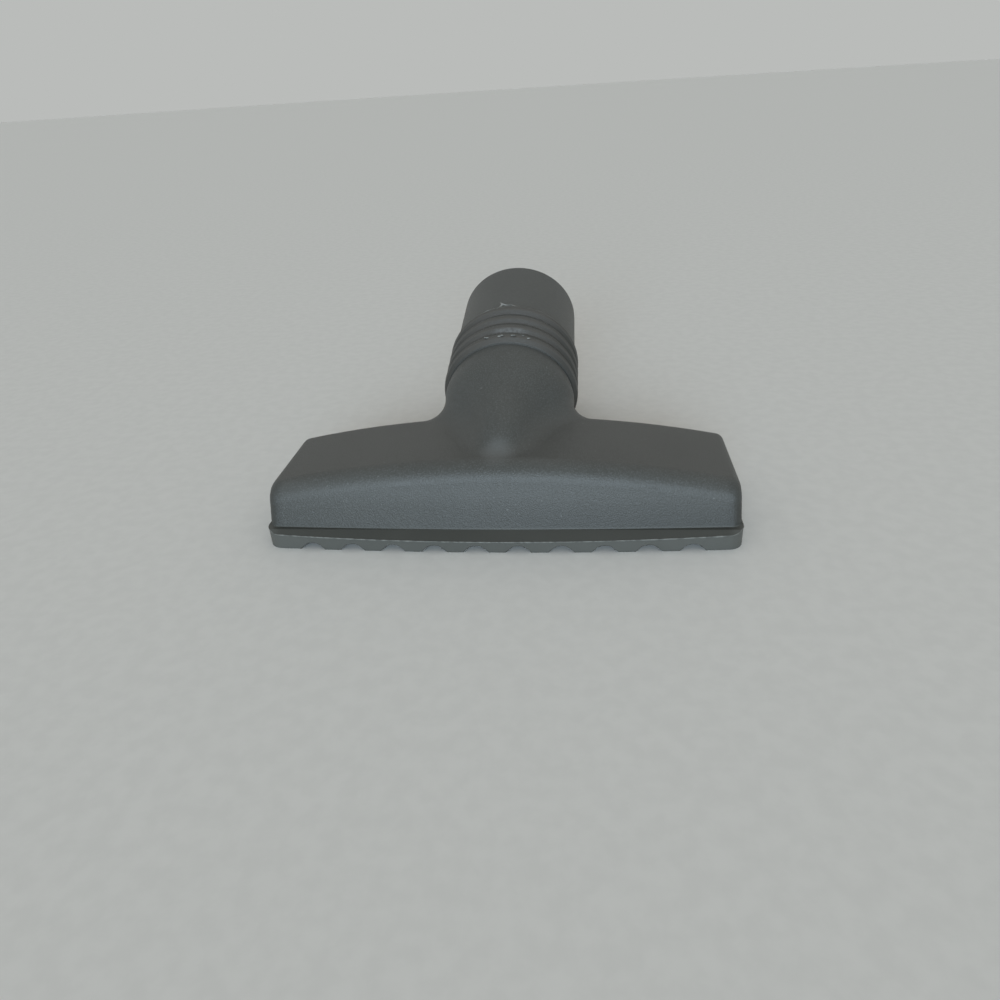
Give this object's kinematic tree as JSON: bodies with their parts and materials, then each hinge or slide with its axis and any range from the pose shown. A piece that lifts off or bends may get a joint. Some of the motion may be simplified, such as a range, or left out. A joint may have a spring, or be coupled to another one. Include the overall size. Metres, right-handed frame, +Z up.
{
  "type": "vacuum upholstery nozzle",
  "caption": "Wide, low suction nozzle with a crowned hollow hood, a scalloped lip round its mouth, and a tilted, ringed round socket that pushes onto a vacuum cleaner's wand.",
  "frame": {"origin": "centre of the bounding box in the plane of the mouth's lip", "axes": "+X along the wide mouth, -Y towards the front lip, +Y towards the socket's open end, +Z up from the mouth"},
  "size_m": [0.1244, 0.1056, 0.0511],
  "materials": {
    "body_plastic": "fine matte grain, moulded"
  },
  "bodies": {
    "root": {"nozzle_body": "body_plastic"}
  },
  "joints": []
}
